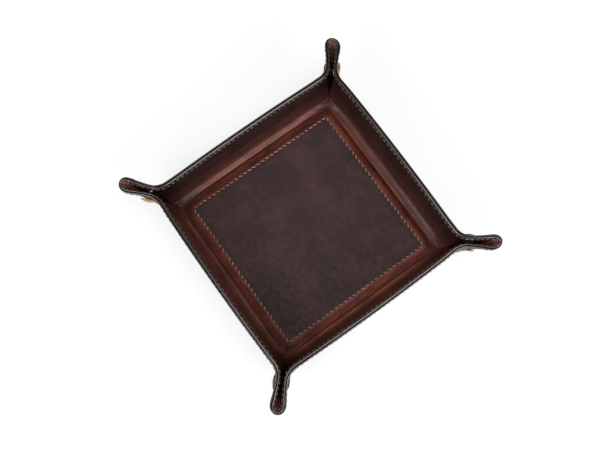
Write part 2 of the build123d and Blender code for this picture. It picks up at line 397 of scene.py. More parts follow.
def creaseRelief(px, py):
    # the tooled groove and the rubbed ridge beside it, on the lining's face
    reach, beside = squareTo(px, py)
    reach = reach - wallAside(px, py, "groove")
    groove = tooling["depth"] * bell(reach, tooling["groove"], tooling["grooveWidth"])
    ridge = tooling["height"] * bell(reach, tooling["ridge"], tooling["ridgeWidth"])
    return (ridge - groove) * (1 - tooling["cornerLoss"] * ramp(beside, *tooling["corner"]))


def rimDistance(px, py):
    # from a place on the flat sheet to its rim, with rounded corners
    inner = sheetHalf - sheet["cornerRadius"]
    qx = np.maximum(np.abs(px) - inner, 0)
    qy = np.maximum(np.abs(py) - inner, 0)
    straight = sheetHalf - squareTo(px, py)[0]
    return np.where((qx > 0) & (qy > 0), sheet["cornerRadius"] - np.hypot(qx, qy), straight)


def seamDip(px, py, inward):
    # the thread pulls a channel into the leather
    floorSeam = bell(squareTo(px, py)[0], panel["seamHalf"], seamChannel["width"])
    rimSeam = bell(rimDistance(px, py), rim["seamInset"], seamChannel["width"])
    floorDepth = seamChannel["floorLining" if inward else "floorOuter"]
    return floorDepth * floorSeam + seamChannel["rim"] * rimSeam


def inEar(px, py):
    # 0 on a wall and 1 past the neck
    return ramp(pastNeck(px, py), 0, softness["earStart"])


def rimPadding(px, py):
    # the lining is thicker towards the rim, and bunches up at the foot of each neck
    height = squareTo(px, py)[0] - crease
    padded = ramp(height, *rim["paddingHeight"])
    bunch = rim["bunch"] * hump(height, *rim["bunchHeight"]) * bell(pastNeck(px, py), 0, rim["bunchWidth"])
    return rim["padding"] * padded * (1 - inEar(px, py)) + bunch


def leanEars(points):
    # each ear is pinched at its snap, swells at its end and leans to one side
    out = points + pinchEars(points)
    radial = (np.abs(points[:, 0]) + np.abs(points[:, 1])) / math.sqrt(2) - crease * math.sqrt(2)
    amount = np.clip(radial / sheet["slant"], 0, leanGrowth["most"]) ** leanGrowth["power"]
    for (sx, sy), (tip, away) in earLean.items():
        mine = (points[:, 0] * sx > 0) & (points[:, 1] * sy > 0)
        shift = np.where(mine, amount, 0) * tip
        for axis in (0, 1):
            out[:, axis] += shift * (away[axis] / math.sqrt(2))
    return out


def pinchEars(points):
    # moves sideways: in at the waist, out at the bulb, and out round the snap below the rim
    x, y, z = points.T
    lateral = (np.abs(x) - np.abs(y)) / math.sqrt(2)
    reach = (np.abs(x) + np.abs(y)) / math.sqrt(2)
    waist, bulb, spread = (
        earShape[what] * bell(reach, earShape[what + "Reach"], earShape[what + "Span"])
        for what in ("waist", "bulb", "spread")
    )
    share = ramp(z, *earShape["height"]) * (1 - bell(lateral, 0, earShape["skinShare"]))
    level = hump(z, *earShape["spreadFoot"], *earShape["spreadTop"])
    move = ((bulb - waist) * share + spread * level) * np.sign(lateral) / math.sqrt(2)
    return np.stack([move * np.sign(x), -move * np.sign(y), np.zeros(len(points))], 1)


def keepApart(points, px, py):
    # inner faces that would pass the corner's middle plane are pressed flat on it
    out = points.copy()
    gap, inset = meeting["gap"], crease - meeting["reach"]
    sides = np.where(np.abs(px) >= np.abs(py), 1.0, -1.0)
    for sx, sy in earLean:
        mine = (px * sx > inset) & (py * sy > inset)
        lateral = (points[:, 0] * sx - points[:, 1] * sy) / math.sqrt(2) * sides
        push = np.where(mine & (lateral < gap), gap - lateral, 0) * sides
        out[:, 0] += push * sx / math.sqrt(2)
        out[:, 1] -= push * sy / math.sqrt(2)
    return out


# The flat sheet's own mesh: lines close together at every fold, wider on the floor
lines = {
    "floorStep": 5.8 * mm,
    "seamSide": 2 * mm,            # inside the panel's seam, where the lines draw together
    "seamStep": 0.8 * mm,
    "grooveStep": 0.42 * mm,
    "grooveReach": (65.4 * mm, 74.2 * mm),
    "wallStep": 1.05 * mm,
    "cornerStep": 0.9 * mm,        # between the rings of a rounded corner
    "rimReach": 4.2 * mm,          # from the rim to where its rings draw together
    "rimStep": 0.45 * mm,
    "edgeShares": (1.0, 0.62, 0.3, 0.1, 0.0),
    "cornerSteps": 14,
    "mergeGrid": 1e6,              # per metre; what rounds to one point of this grid is one place
}


def spaced(first, last, step):
    count = max(int(round((last - first) / step)), 1)
    return list(np.linspace(first, last, count + 1)[:-1])


def flatLines():
    radius = sheet["cornerRadius"]
    inner = sheetHalf - radius
    fine = panel["seamHalf"] - lines["seamSide"]
    near, far = lines["grooveReach"]
    out = spaced(0, fine, lines["floorStep"]) + spaced(fine, near, lines["seamStep"])
    out += spaced(near, far, lines["grooveStep"]) + spaced(far, inner, lines["wallStep"])
    radii = spaced(0, radius - lines["rimReach"], lines["cornerStep"])
    radii += spaced(radius - lines["rimReach"], radius - rim["rounding"], lines["rimStep"])
    radii += [radius - rim["rounding"] * share for share in lines["edgeShares"]]
    return np.array(out), inner, np.array(radii)


def buildFlatMesh():
    # one quarter as patches of places, copied round by sign, then merged where they meet
    inside, inner, radii = flatLines()
    straight = np.concatenate([inside, [inner]])
    patches = [
        np.stack(np.meshgrid(straight, straight, indexing="ij"), -1),
        np.stack(np.meshgrid(inner + radii, straight, indexing="ij"), -1),
        np.stack(np.meshgrid(straight, inner + radii, indexing="ij"), -1),
    ]
    angles = np.linspace(0, math.pi / 2, lines["cornerSteps"] + 1)
    ringR, ringA = np.meshgrid(radii, angles, indexing="ij")
    patches.append(np.stack([inner + ringR * np.cos(ringA), inner + ringR * np.sin(ringA)], -1))
    places, quads, known = [], [], {}
    for sx in (1, -1):
        for sy in (1, -1):
            for patch in patches:
                rows, columns = patch.shape[:2]
                index = np.zeros((rows, columns), int)
                for i in range(rows):
                    for j in range(columns):
                        x, y = patch[i, j, 0] * sx, patch[i, j, 1] * sy
                        spot = (round(x * lines["mergeGrid"]), round(y * lines["mergeGrid"]))
                        if spot not in known:
                            known[spot] = len(places)
                            places.append((x, y))
                        index[i, j] = known[spot]
                for i in range(rows - 1):
                    for j in range(columns - 1):
                        ring = [index[i, j], index[i + 1, j], index[i + 1, j + 1], index[i, j + 1]]
                        # a mirrored quarter's rings would face the other way
                        if sx * sy < 0:
                            ring.reverse()
                        ring = [one for k, one in enumerate(ring) if one != ring[k - 1]]
                        if len(ring) > 2:
                            quads.append(ring)
    return np.array(places), quads


flatPlaces, flatFaces = buildFlatMesh()
flatX = flatPlaces[:, 0]
flatY = flatPlaces[:, 1]
print("flat sheet", len(flatPlaces), "places", len(flatFaces), "faces")

wallOfSide = {(0, 1): "right", (0, -1): "left", (1, 1): "back", (1, -1): "front"}
splits = {
    "floorHalf": panel["seamHalf"] + 1.0 * mm,    # the raised panel, inside the border band
    "cornerHeight": 4.5 * mm,           # below this a wall's skin reaches the corner's middle
    "neckReach": 4.5 * mm,              # from a neck to where its bend starts and ends
}


def pieceOf(x, y):
    # which piece a place on the flat sheet belongs to, as wall side, corner and kind
    ax, ay = abs(x), abs(y)
    if max(ax, ay) <= splits["floorHalf"]:
        return ("floor", None)
    across = 1 if ay > ax else 0
    wall = wallOfSide[(across, 1 if (y if across else x) > 0 else -1)]
    v = max(ax, ay) - crease
    u = min(ax, ay) - crease
    neck = v * math.tan(neckTurn) - splits["neckReach"]
    if v <= splits["cornerHeight"] or u < neck:
        return ("wall", wall)
    corner = (1 if x > 0 else -1, 1 if y > 0 else -1)
    kind = "flap" if u <= v * math.tan(touchAngle) else "loop"
    return (kind, (corner, "post" if across else "cap"))


facePieces = {}
for number, ring in enumerate(flatFaces):
    middle = flatPlaces[ring].mean(0)
    facePieces.setdefault(pieceOf(middle[0], middle[1]), []).append(number)
print("pieces of the sheet", len(facePieces))


skinPlace, skinNormal = softFrame(flatX, flatY)
print("sheet folded")


def layerFaces(first, last, lifted):
    # both faces of one leather, thinned to a round edge at the rim
    gap = rimDistance(flatX, flatY)
    t = np.clip(1 - gap / rim["rounding"], 0, 1)
    thin = np.maximum(np.sqrt(np.clip(1 - t * t, 0, 1)), rim["edgeThin"])
    middle = (first + last) / 2
    half = (last - first) / 2
    innerHeight = middle + half * thin
    outerHeight = middle - half * thin
    if lifted:
        lift = panelLift(flatX, flatY)
        pad = rimPadding(flatX, flatY)
        innerHeight += lift + creaseRelief(flatX, flatY) - seamDip(flatX, flatY, True) + pad * (1 + thin) / 2
        outerHeight += lift + pad * (1 - thin) / 2
    else:
        outerHeight += seamDip(flatX, flatY, False)
    faces = []
    for height in (innerHeight, outerHeight):
        faces.append(leanEars(keepApart(skinPlace + skinNormal * height[:, None], flatX, flatY)))
    return faces


def openEdges(rings):
    # directed edges that no second ring shares
    seen = {}
    for ring in rings:
        for k, a in enumerate(ring):
            seen[(a, ring[(k + 1) % len(ring)])] = True
    return [edge for edge in seen if edge[::-1] not in seen]


outlineEdges = openEdges(flatFaces)


def shellNormals(inner, outer):
    # one set of normals for the whole closed leather, so that its pieces join without a seam
    count = len(inner)
    points = np.concatenate([inner, outer])
    faces = flatFaces + [[one + count for one in reversed(ring)] for ring in flatFaces]
    faces += [[b, a, a + count, b + count] for a, b in outlineEdges]
    total = np.zeros_like(points)
    for size in (3, 4):
        rings = np.array([ring for ring in faces if len(ring) == size])
        a, b, c = points[rings[:, 0]], points[rings[:, 1]], points[rings[:, 2]]
        normal = np.cross(c - a, points[rings[:, 3]] - b) if size == 4 else np.cross(b - a, c - a)
        for k in range(size):
            np.add.at(total, rings[:, k], normal)
    total /= np.linalg.norm(total, axis=1)[:, None]
    return total[:count], total[count:]


zones = {"first": 55.0 * mm, "last": sheetHalf}    # the stretch of the sheet that the dye's bands divide


def zoneShare(reach):
    return (reach - zones["first"]) / (zones["last"] - zones["first"])


panelStitches = 30                                # along each side of the panel's seam
panelPitch = 2 * panel["seamHalf"] / panelStitches
tones = {
    "sideStep": 54 * panelPitch,                  # from one side's run of places to the next side's
    "earBand": 85.0 * mm,                         # inside an ear the dye stays as it is at this reach
    # painted light: the lining inside the ears is brightened by this
    "earGlow": 1.55,
    "earDeep": (92 * mm, 104 * mm),               # along an ear, where its neck, darkened partly by painted shade, turns into its bulb
    "glowFrom": 62 * mm,                          # where a wall's painted light starts
    "glowUpper": (76 * mm, 83 * mm),
    "mitre": (1.2 * mm, 4.0 * mm),                # from the diagonal, where streaks start
    "calmBand": 79.0 * mm,                        # the plain dye that the ridge's orange fades into
    "calmFrom": 70.4 * mm,
    "cornerCalm": 0.85,
    "calmCorner": (50 * mm, 66 * mm),
    "calmGroove": 67.4 * mm,                      # likewise for the groove's dark line, partly painted shade
    "shadeCorner": (50 * mm, 70 * mm),            # where painted shade darkens a corner and dulls its polish
    "cornerDull": 1.6,
    "rimBand": 86.5 * mm,                         # the dye that a paler upper wall keeps, a paleness that is painted light
    "dullPlace": 69.0 * mm,                       # the unpolished foot of the panel, and the groove
    "dullSpan": 2.3 * mm,
    "rimSpan": 10 * mm,                           # in from the rim, over which its own tones are counted
}
# How the tones differ by wall, mostly painted light and shade for how the light falls on each wall: shares by
# which its ridge is dulled and its upper part pale, then brightnesses
wallLightAndDye = {
    "ridgeDull": {"right": 0.30, "back": 0.0, "left": 0.60, "front": 0.15},
    "upperPale": {"right": 0.0, "back": 0.0, "left": 0.80, "front": 0.80},
    "border": {"right": 1.45, "back": 1.0, "left": 1.15, "front": 1.45},
    "cove": {"right": 1.03, "back": 1.0, "left": 1.0, "front": 1.2},
    "upper": {"right": 1.08, "back": 1.0, "left": 1.60, "front": 1.55},
}
# By how much painted shade darkens each corner
cornerPaintedShade = {(1, 1): 0.12, (-1, 1): 0.40, (1, -1): 0.18, (-1, -1): 0.42}


def leatherTones():
    # where a place lies between panel and rim, how far along its wall, and how near the diagonal
    ax, ay = np.abs(flatX), np.abs(flatY)
    reach, beside = squareTo(flatX, flatY)
    reach = reach - wallAside(flatX, flatY, "groove")
    ear = inEar(flatX, flatY)
    dyeAndPaintedLight = {what: byWall(flatX, flatY, shares) for what, shares in wallLightAndDye.items()}
    clear = ramp(np.abs(ax - ay), *tones["mitre"])
    dull = bell(reach, tones["dullPlace"], tones["dullSpan"])
    nearCorner = tones["cornerCalm"] * ramp(beside, *tones["calmCorner"])
    calm = np.maximum(dyeAndPaintedLight["ridgeDull"] * clear, nearCorner)
    ridgeSide = smooth((reach - tones["calmFrom"]) / mm)
    reach = reach - np.maximum(reach - tones["calmGroove"], 0) * nearCorner * (1 - ridgeSide)
    reach = reach + np.maximum(tones["calmBand"] - reach, 0) * calm * ridgeSide
    reach = reach - np.maximum(reach - tones["earBand"], 0) * ear
    reach = reach - np.maximum(reach - tones["rimBand"], 0) * dyeAndPaintedLight["upperPale"] * clear * (1 - ear)
    pastPanel = smooth((reach - tones["glowFrom"]) / mm)
    inCove = smooth((reach - tones["calmFrom"]) / mm)
    above = ramp(reach, *tones["glowUpper"])
    onWall = dyeAndPaintedLight["border"] * (1 - inCove) + inCove * (dyeAndPaintedLight["cove"] * (1 - above) + dyeAndPaintedLight["upper"] * above)
    # glow carries painted light and shade: each wall's border, cove and upper part are brightened for how the
    # light falls on that wall
    glow = 1 + (onWall - 1) * clear * pastPanel
    # painted shade: the lining darkens and its polish dulls towards each corner
    cornered = ramp(beside, *tones["shadeCorner"]) * pastPanel
    for (sx, sy), share in cornerPaintedShade.items():
        mine = share * cornered * (flatX * sx > 0) * (flatY * sy > 0)
        glow *= 1 - mine
        dull = np.maximum(dull, mine * tones["cornerDull"])
    deep, shown = tones["earDeep"]
    return {
        "neckDepth": ear * ramp(beside, shown, deep),
        # painted light inside the ears, painted shade in their necks
        "glow": glow * (1 - ear) + tones["earGlow"] * ear,
        "zone": np.clip(zoneShare(reach), 0, 1),
        "rimZone": np.clip(rimDistance(flatX, flatY) / tones["rimSpan"], 0, 1),
        "along": np.where(ax > ay, flatY * np.sign(flatX), tones["sideStep"] - flatX * np.sign(flatY)),
        "clearOfMitre": clear,
        "dull": dull,
    }


sheetTones = leatherTones()


def linked(name, data):
    made = bpy.data.objects.new(name, data)
    bpy.context.scene.collection.objects.link(made)
    return made


def makeMesh(name, points, faces, normals=None, pointTones=None, flat=None, materials=(), painted=None):
    mesh = bpy.data.meshes.new(name)
    mesh.from_pydata(points.tolist(), [], faces)
    mesh.update()
    for tone, values in (pointTones or {}).items():
        attribute = mesh.attributes.new(tone, "FLOAT", "POINT")
        attribute.data.foreach_set("value", np.asarray(values, np.float32))
    if flat is not None:
        layer = mesh.uv_layers.new(name="flatSheet")
        corners = np.zeros(len(mesh.loops), int)
        mesh.loops.foreach_get("vertex_index", corners)
        layer.data.foreach_set("uv", flat[corners].astype(np.float32).ravel())
    mesh.shade_smooth()
    if normals is not None:
        mesh.normals_split_custom_set_from_vertices(normals.tolist())
    for material in materials:
        mesh.materials.append(material)
    if painted is not None:
        mesh.polygons.foreach_set("material_index", np.array(painted, np.int32))
    return linked(name, mesh)


def cutShell(name, numbers, inner, outer, innerNormals, outerNormals, material, buriedOutside):
    # a closed piece of one leather: the faces named, both sides, joined round its border. They are painted
    # with material 0, the leather, 1, the edge paint, or 2, the glue between the leathers, partly painted
    # shade of the gap between them
    used = sorted({one for n in numbers for one in flatFaces[n]})
    where = {one: k for k, one in enumerate(used)}
    count = len(used)
    gap = rimDistance(flatX[used], flatY[used])
    rings = [[where[one] for one in flatFaces[n]] for n in numbers]
    faces, painted = [], []
    for ring in rings:
        faces += [ring, [one + count for one in reversed(ring)]]
        shown = int(gap[ring].mean() < rim["paintReach"])
        buried = 2 if rim["glueAndShadeFrom"] < gap[ring].mean() < 2 * rim["rounding"] else shown
        painted += [shown, buried] if buriedOutside else [buried, shown]
    for a, b in openEdges(rings):
        faces.append([b, a, a + count, b + count])
        painted.append(int(gap[[a, b]].max() < rim["paintReach"]))
    points = np.concatenate([inner[used], outer[used]])
    normals = np.concatenate([innerNormals[used], outerNormals[used]])
    ownTones = {tone: np.tile(values[used], 2) for tone, values in sheetTones.items()}
    flat = np.tile(flatPlaces[used], (2, 1)) / (2 * sheetHalf) + 0.5
    return makeMesh(name, points, faces, normals, ownTones, flat, (material, edgePaint, glueAndGapShade), painted)


# Materials. Colours are linear
leather = {
    "lining": {
        # flat distance from the centre, and the dye's colour there
        "bands": (
            (61.0 * mm, (0.020, 0.0085, 0.0085)),
            (63.4 * mm, (0.075, 0.022, 0.016)),
            (66.8 * mm, (0.068, 0.018, 0.0120)),
            (68.8 * mm, (0.046, 0.0100, 0.0055)),
            # these two stops paint the groove's dark line, partly painted shade
            (69.6 * mm, (0.021, 0.0040, 0.0024)),
            (70.1 * mm, (0.021, 0.0040, 0.0024)),
            (71.0 * mm, (0.064, 0.0150, 0.0078)),
            (72.1 * mm, (0.150, 0.037, 0.0185)),
            (74.2 * mm, (0.080, 0.021, 0.0120)),
            (77.5 * mm, (0.050, 0.0145, 0.0100)),
            (85.0 * mm, (0.040, 0.0120, 0.0090)),
            (88.5 * mm, (0.038, 0.0108, 0.0080)),
            (92.0 * mm, (0.019, 0.0076, 0.0065)),
            (108.0 * mm, (0.016, 0.0070, 0.0062)),
        ),
        "wornAndSheen": 1.55,                  # how much brighter the dye's pale clouds and the painted sheen streaks are
        "roughness": 0.35,
        "specular": 0.25,
        "coat": 0.04,
        "holes": 0.0,
        "neckDark": 0.70,              # how dark the inside of the ears' necks is, partly painted shade
    },
    "panel": {
        "bands": (
            (55.0 * mm, (0.0310, 0.0118, 0.0115)),
            (61.2 * mm, (0.0265, 0.0100, 0.0098)),
            (62.6 * mm, (0.055, 0.0160, 0.0120)),
        ),
        "wornAndSheen": 1.4,
        "roughness": 0.56,
        "specular": 0.28,
        "coat": 0.0,
        "holes": 0.92,                 # how dark the painted shade in the seam's holes is
        "neckDark": 0.0,
    },
    "outer": {
        "bands": (
            (66.0 * mm, (0.030, 0.0110, 0.0085)),
            (71.0 * mm, (0.055, 0.0170, 0.0110)),
            (76.0 * mm, (0.036, 0.0125, 0.0092)),
            (100.0 * mm, (0.030, 0.0105, 0.0085)),
            (108.0 * mm, (0.016, 0.0070, 0.0062)),
        ),
        "wornAndSheen": 1.6,
        "roughness": 0.34,
        "specular": 0.42,
        "coat": 0.12,
        "holes": 0.0,
        "neckDark": 0.0,
    },
}
# The leather's surface. A pattern has its size, its noise's detail and roughness, and the stretch of
# its values that counts
hide = {
    "cloud": 24 * mm,              # the dye's soft patches
    "cloudNoise": (4.0, 0.6),
    "cloudSpan": (0.32, 0.72),
    "fine": 3.84 * mm,
    "fineNoise": (3.0, 0.6),
    "fineSpan": (0.3, 0.7),
    "wrinkle": 4.5 * mm,
    "wrinkleNoise": (5.0, 0.62, 0.6),
    "wrinkleDepth": 0.11 * mm,
    "wrinkleStrength": 0.8,
    "pore": 0.80 * mm,             # the grain
    "poreSpan": (0.15, 0.6),
    "poreShade": (0.84, 1.05),
    "poreDepth": 0.045 * mm,
    "poreStrength": 0.7,
    "streakLong": 34 * mm,         # of the streaks along a wall, partly rubbed leather and partly painted sheen
    "streakWide": 2.6 * mm,
    "wearAndSheenSpan": (0.1, 0.9),
    "leastWornAndSheen": 0.72,
    "bandWander": 0.012,           # share of the zones that the dye's bands wander by
    "hole": 0.62 * mm,
    "holeSpan": (0.4, 1.2),
    "seamShade": 0.75 * mm,        # of painted shade to each side of the rim's seam, and how bright it is there
    "seamBright": 0.55,
    "roughSpan": (0.3, 1.4),
    "roughAdded": 0.16,
    "dullSpan": (0.1, 0.9),
    "dullShare": 0.15,             # of the polish that is left where it is dull
    "coatRoughness": 0.24,
}


class Nodes:
    # a short way to write nodes: sockets by name or number, each with a value or another node's socket
    def __init__(self, tree):
        self.tree = tree

    def put(self, socket, value):
        if isinstance(value, bpy.types.NodeSocket):
            self.tree.links.new(value, socket)
            return
        kept = socket.default_value
        if hasattr(kept, "__len__") and len(kept) == 4 and len(value) == 3:
            value = (*value, 1)
        socket.default_value = value

    def fill(self, node, inputs):
        for socket, value in inputs.items():
            self.put(node.inputs[socket], value)
        return node

    def add(self, kind, inputs=None, **values):
        node = self.tree.nodes.new(kind)
        for name, value in values.items():
            setattr(node, name, value)
        return self.fill(node, inputs or {})

    def math(self, operation, *numbers, clamp=False):
        inputs = dict(enumerate(numbers))
        return self.add("ShaderNodeMath", inputs, operation=operation, use_clamp=clamp).outputs[0]

    def plus(self, a, b):
        return self.math("ADD", a, b)

    def minus(self, a, b):
        return self.math("SUBTRACT", a, b)

    def over(self, a, b):
        return self.math("DIVIDE", a, b)

    def times(self, first, *others):
        for other in others:
            first = self.math("MULTIPLY", first, other)
        return first

    def scaled(self, vector, share):
        return self.add("ShaderNodeVectorMath", {0: vector, "Scale": share}, operation="SCALE").outputs[0]

    def mix(self, factor, a, b):
        return self.add("ShaderNodeMix", {0: factor, 6: a, 7: b}, data_type="RGBA").outputs[2]

    def tone(self, name):
        return self.add("ShaderNodeAttribute", attribute_name=name).outputs["Fac"]

    def noise(self, place, scale, detail=3.0, rough=0.55, distortion=0.0):
        inputs = {"Vector": place, "Scale": scale, "Detail": detail, "Roughness": rough}
        inputs["Distortion"] = distortion
        return self.add("ShaderNodeTexNoise", inputs).outputs["Fac"]

    def range(self, value, low, high, first=0.0, last=1.0):
        inputs = {"Value": value, "From Min": low, "From Max": high, "To Min": first, "To Max": last}
        return self.add("ShaderNodeMapRange", inputs, interpolation_type="SMOOTHSTEP").outputs["Result"]

    def bump(self, height, distance, **more):
        return self.add("ShaderNodeBump", {"Height": height, "Distance": distance, **more}).outputs[0]


def newMaterial(name):
    material = bpy.data.materials.new(name)
    material.use_nodes = True
    nodes = Nodes(material.node_tree)
    shader = material.node_tree.nodes["Principled BSDF"]
    return material, nodes, shader


def leatherMaterial(name, look):
    material, nodes, shader = newMaterial(name)
    flat = nodes.add("ShaderNodeUVMap", uv_map="flatSheet").outputs["UV"]
    sheetSpan = 2 * sheetHalf
    cloud, fine, creased = (
        nodes.noise(flat, sheetSpan / hide[what], *hide[what + "Noise"])
        for what in ("cloud", "fine", "wrinkle")
    )
    cloud = nodes.range(cloud, *hide["cloudSpan"])
    fine = nodes.range(fine, *hide["fineSpan"])
    cells = {"Vector": flat, "Scale": sheetSpan / hide["pore"]}
    pore = nodes.add("ShaderNodeTexVoronoi", cells, feature="SMOOTH_F1").outputs["Distance"]
    along, zone, clear = (nodes.tone(tone) for tone in ("along", "zone", "clearOfMitre"))
    zoneLength = zones["last"] - zones["first"]
    # painted sheen: streaks along each wall lighten and darken the dye, fading at the mitres
    strip = {0: nodes.over(along, hide["streakLong"]), 1: nodes.times(zone, zoneLength / hide["streakWide"])}
    sheenStreak = nodes.noise(nodes.add("ShaderNodeCombineXYZ", strip).outputs[0], 1.0, *hide["fineNoise"])
    sheenStreak = nodes.minus(nodes.range(sheenStreak, *hide["fineSpan"]), 0.5)
    sheenStreak = nodes.plus(nodes.times(sheenStreak, clear), 0.5)
    # the bands wander a little, as dye rubbed on by hand does
    wandering = nodes.times(nodes.minus(creased, 0.5), hide["bandWander"])
    dyeAndPaintedLight = nodes.add("ShaderNodeValToRGB", {"Fac": nodes.plus(zone, wandering)})
    stops = dyeAndPaintedLight.color_ramp.elements
    for number, (reach, colour) in enumerate(look["bands"]):
        place = min(max(zoneShare(reach), 0), 1)
        stop = stops[number] if number < 2 else stops.new(place)
        stop.position = place
        stop.color = (*colour, 1)
    wearAndSheen = nodes.times(nodes.plus(cloud, sheenStreak), 0.5)
    wornAndSheen = nodes.range(wearAndSheen, *hide["wearAndSheenSpan"], hide["leastWornAndSheen"], look["wornAndSheen"])
    # painted shade: the leather is darker along the rim's seam, and black in the panel seam's holes
    fromSeam = nodes.minus(nodes.tone("rimZone"), rim["seamInset"] / tones["rimSpan"])
    besideRim = nodes.math("ABSOLUTE", fromSeam)
    shade = nodes.range(besideRim, 0.0, hide["seamShade"] / tones["rimSpan"], hide["seamBright"], 1.0)
    poreShade = nodes.range(pore, *hide["poreSpan"], *hide["poreShade"])
    strength = nodes.times(wornAndSheen, poreShade, shade, nodes.tone("glow"))
    if look["holes"]:
        turn = nodes.over(nodes.plus(along, panel["seamHalf"]), panelPitch)
        apart = nodes.minus(nodes.math("FRACT", nodes.plus(turn, 0.5)), 0.5)
        apart = nodes.times(apart, panelPitch / hide["hole"])
        aside = nodes.times(nodes.minus(zone, zoneShare(panel["seamHalf"])), zoneLength / hide["hole"])
        spot = nodes.plus(nodes.times(apart, apart), nodes.times(aside, aside))
        hole = nodes.times(nodes.range(spot, *hide["holeSpan"], look["holes"], 0.0), clear)
        strength = nodes.times(strength, nodes.minus(1.0, hole))
    # partly painted shade: the lining is darker inside the ears' necks
    if look["neckDark"]:
        darker = nodes.times(nodes.tone("neckDepth"), look["neckDark"])
        strength = nodes.times(strength, nodes.minus(1.0, darker))
    rough, polish = look["roughness"], look["specular"]
    rougher, dulled = rough + hide["roughAdded"], polish * hide["dullShare"]
    grain = nodes.bump(pore, hide["poreDepth"], Strength=hide["poreStrength"])
    nodes.fill(shader, {
        "Base Color": nodes.scaled(dyeAndPaintedLight.outputs["Color"], strength),
        "Roughness": nodes.range(nodes.plus(fine, pore), *hide["roughSpan"], rough, rougher),
        "Specular IOR Level": nodes.range(nodes.tone("dull"), *hide["dullSpan"], polish, dulled),
        "Coat Weight": look["coat"],
        "Coat Roughness": hide["coatRoughness"],
        "Normal": nodes.bump(creased, hide["wrinkleDepth"], Strength=hide["wrinkleStrength"], Normal=grain),
    })
    return material


# The other materials. Two colours are mixed by a soft pattern; a fine one gives roughness and bumps. Each
# pattern has its size, then its noise's detail, roughness and distortion
cutEdge = {
    "patch": (11 * mm, 4.0), "patchSpan": (0.4, 0.7),
    "fine": (0.7 * mm, 3.0), "bump": 0.03 * mm,
}
yarn = {
    "patch": (9 * mm, 3.0), "patchSpan": (0.3, 0.7),
    "fine": (0.5 * mm, 2.0), "bump": 0.06 * mm, "grooveShare": 0.4,
    "shader": {"Roughness": 0.5, "Specular IOR Level": 0.35},
}
metal = {
    "patch": (3.2 * mm, 4.0, 0.6), "patchSpan": (0.4, 0.72),
    "fine": (0.4 * mm, 3.0), "shader": {"Metallic": 1.0},
}
plainLooks = {
    # paint burnished on the cut edges, and the dark glue between them, partly painted shade of their gap
    "edgePaint": {
        **cutEdge, "colours": ((0.0120, 0.0092, 0.0088), (0.0240, 0.0150, 0.0130)), "roughness": (0.20, 0.34),
        "shader": {"Specular IOR Level": 0.70, "Coat Weight": 0.25, "Coat Roughness": 0.2},
    },
    "glueAndGapShade": {
        **cutEdge, "colours": ((0.0040, 0.0030, 0.0028), (0.0070, 0.0045, 0.0038)), "roughness": (0.50, 0.64),
        "shader": {"Specular IOR Level": 0.15, "Coat Weight": 0.0, "Coat Roughness": 0.2},
    },
    "waxedThread": {
        **yarn, "colours": ((0.26, 0.095, 0.055), (0.42, 0.19, 0.12)), "groove": (0.10, 0.032, 0.018),
    },
    "rimThread": {
        **yarn, "colours": ((0.105, 0.046, 0.030), (0.20, 0.105, 0.070)), "groove": (0.04, 0.017, 0.011),
    },
    "antiqueBrass": {**metal, "colours": ((0.46, 0.31, 0.13), (0.16, 0.10, 0.05)), "roughness": (0.26, 0.42)},
    "springSteel": {**metal, "colours": ((0.52, 0.49, 0.44), (0.28, 0.26, 0.23)), "roughness": (0.24, 0.40)},
    "fibreBoard": {
        "colours": ((0.30, 0.22, 0.15), (0.18, 0.13, 0.09)), "shader": {"Roughness": 0.85},
        "patch": (1.4 * mm, 4.0, 0.7, 1.2), "fine": (1.4 * mm, 4.0, 0.7, 1.2), "bump": 0.1 * mm,
    },
}


def plainMaterial(name):
    look = plainLooks[name]
    material, nodes, shader = newMaterial(name)
    where = nodes.add("ShaderNodeTexCoord").outputs["Object"]
    patch, fine = (nodes.noise(where, 1 / look[what][0], *look[what][1:]) for what in ("patch", "fine"))
    if "patchSpan" in look:
        patch = nodes.range(patch, *look["patchSpan"])
    colour = nodes.mix(patch, *look["colours"])
    # painted shade: a darker groove colour, mixed in by the fine pattern, stands for the shade in the
    # thread's twist
    if "groove" in look:
        share = nodes.range(fine, *hide["fineSpan"], 0.0, look["grooveShare"])
        colour = nodes.mix(share, colour, look["groove"])
    nodes.fill(shader, {"Base Color": colour, **look["shader"]})
    if "roughness" in look:
        nodes.fill(shader, {"Roughness": nodes.range(fine, *hide["fineSpan"], *look["roughness"])})
    if "bump" in look:
        nodes.fill(shader, {"Normal": nodes.bump(fine, look["bump"])})
    return material


liningLeather, panelLeather, outerLeather = (
    leatherMaterial(kind + "Leather", leather[kind]) for kind in leather
)
edgePaint, glueAndGapShade, waxedThread, rimThread, antiqueBrass, springSteel, fibreBoard = (
    plainMaterial(kind) for kind in plainLooks
)
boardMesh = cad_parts["base_board"].data
boardMesh.materials.clear()
boardMesh.materials.append(fibreBoard)
print("materials made")


# What each piece hangs on
wallNames = ("right", "back", "left", "front")


def wallTurn(wall):
    # carries a point of the right wall's side to another wall's
    quarter = wallNames.index(wall) * math.pi / 2
    c, s = round(math.cos(quarter)), round(math.sin(quarter))
    return np.array([[c, -s, 0], [s, c, 0], [0, 0, 1]], float)


def hangPiece(piece, part):
    kind, detail = part
    if kind == "floor":
        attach(piece, "base")
        return
    if kind == "wall":
        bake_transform(piece)
        return
    corner, side = detail
    body = f"{cornerNames[corner]}_{side}_flap"
    if kind == "flap":
        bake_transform(piece)
    else:
        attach(piece, body)
        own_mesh(piece)


def partName(part):
    kind, detail = part
    if kind == "floor":
        return "floor"
    if kind == "wall":
        return detail + "_wall"
    corner, side = detail
    return f"{cornerNames[corner]}_{side}_{kind}"


